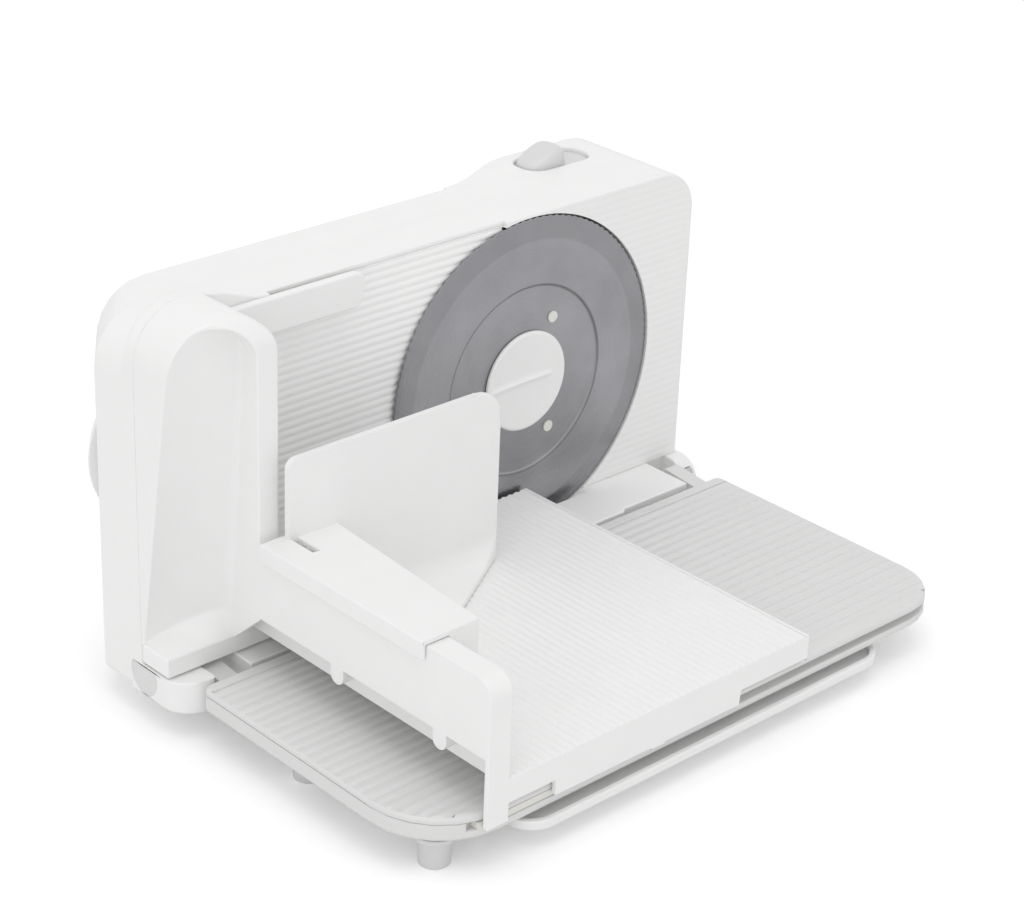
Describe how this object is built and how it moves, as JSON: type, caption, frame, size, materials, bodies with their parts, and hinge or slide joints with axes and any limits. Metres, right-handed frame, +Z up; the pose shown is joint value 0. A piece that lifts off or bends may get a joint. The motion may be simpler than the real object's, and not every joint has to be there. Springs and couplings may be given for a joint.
{
  "type": "folding food slicer",
  "caption": "Electric folding food slicer: upright motor housing with round blade and gauge plate, fold-up base, sliding food carriage, remnant holder and slice tray.",
  "frame": {"origin": "centre of the outline in plan, on the surface that the feet stand on", "axes": "+X along the blade's plane to the right as seen by the user, +Y to the back of the housing, +Z up"},
  "size_m": [0.3468, 0.2616, 0.2005],
  "materials": {
    "white_plastic": "satin",
    "grey_plastic": "matte",
    "natural_plastic": "matte",
    "blade_steel": "brushed",
    "steel": "satin",
    "foot_rubber": "matte"
  },
  "bodies": {
    "housing": {"front_shell": "white_plastic", "rear_cover": "white_plastic", "fixed_plate": "white_plastic", "blade_spindle": "steel", "dial_scale": "grey_plastic", "switch_plate": "grey_plastic", "hinge_pin_left": "steel", "hinge_pin_right": "steel", "housing_foot_1": "foot_rubber", "housing_foot_2": "foot_rubber", "housing_foot_3": "foot_rubber", "housing_foot_4": "foot_rubber"},
    "blade": {"blade": "blade_steel", "drive_gear": "natural_plastic"},
    "blade_knob": {"blade_knob": "white_plastic"},
    "gauge": {"gauge_plate": "white_plastic", "gauge_guide_lower": "steel", "gauge_guide_upper": "steel"},
    "dial": {"thickness_dial": "grey_plastic", "dial_spindle": "steel"},
    "switch": {"power_switch": "grey_plastic"},
    "fold_button": {"fold_button": "grey_plastic"},
    "base": {"base_top": "grey_plastic", "base_bottom": "grey_plastic", "base_foot_front_left": "foot_rubber", "base_foot_front_right": "foot_rubber", "base_foot_rear_left": "foot_rubber", "base_foot_rear_right": "foot_rubber"},
    "tray": {"slice_tray": "white_plastic"},
    "glide": {"carriage_glide": "natural_plastic"},
    "carriage": {"carriage": "white_plastic"},
    "holder": {"holder": "white_plastic"}
  },
  "joints": [
    {"name": "blade_spin", "type": "hinge", "parent": "housing", "child": "blade", "pos_m": [0.0586, 0.06375, 0.1025], "axis": [0, 1, 0], "continuous": true},
    {"name": "blade_lock_turn", "type": "hinge", "parent": "blade", "child": "blade_knob", "pos_m": [0.0586, 0.06375, 0.1025], "axis": [0, 1, 0], "range_deg": [0, 60]},
    {"name": "thickness_turn", "type": "hinge", "parent": "housing", "child": "dial", "pos_m": [-0.1214, 0.11375, 0.1045], "axis": [0, 1, 0], "range_deg": [0, 270]},
    {"name": "gauge_slide", "type": "slide", "parent": "housing", "child": "gauge", "axis": [0, 1, 0], "range_m": [0, 0.0131]},
    {"name": "switch_slide", "type": "slide", "parent": "housing", "child": "switch", "axis": [1, 0, 0], "range_m": [0, 0.008], "stiffness_N_per_m": 300},
    {"name": "fold_button_press", "type": "slide", "parent": "housing", "child": "fold_button", "axis": [1, 0, 0], "range_m": [0, 0.003], "stiffness_N_per_m": 800},
    {"name": "base_fold", "type": "hinge", "parent": "housing", "child": "base", "pos_m": [0.0586, 0.04975, 0.0225], "axis": [-1, 0, 0], "range_deg": [0, 90]},
    {"name": "tray_slide", "type": "slide", "parent": "base", "child": "tray", "axis": [0, -1, 0], "range_m": [0, 0.16]},
    {"name": "carriage_slide", "type": "slide", "parent": "base", "child": "glide", "axis": [1, 0, 0], "range_m": [0, 0.18]},
    {"name": "carriage_pull_off", "type": "slide", "parent": "glide", "child": "carriage", "axis": [0, -1, 0], "range_m": [0, 0.3]},
    {"name": "holder_slide", "type": "slide", "parent": "carriage", "child": "holder", "axis": [0, -1, 0], "range_m": [0, 0.038]}
  ],
  "couplings": [
    {"joint": "gauge_slide", "follows": "thickness_turn", "m_per_rad": 0.002759},
    {"joint": "carriage_pull_off", "follows": "base_fold", "m_per_rad": 0.19}
  ]
}
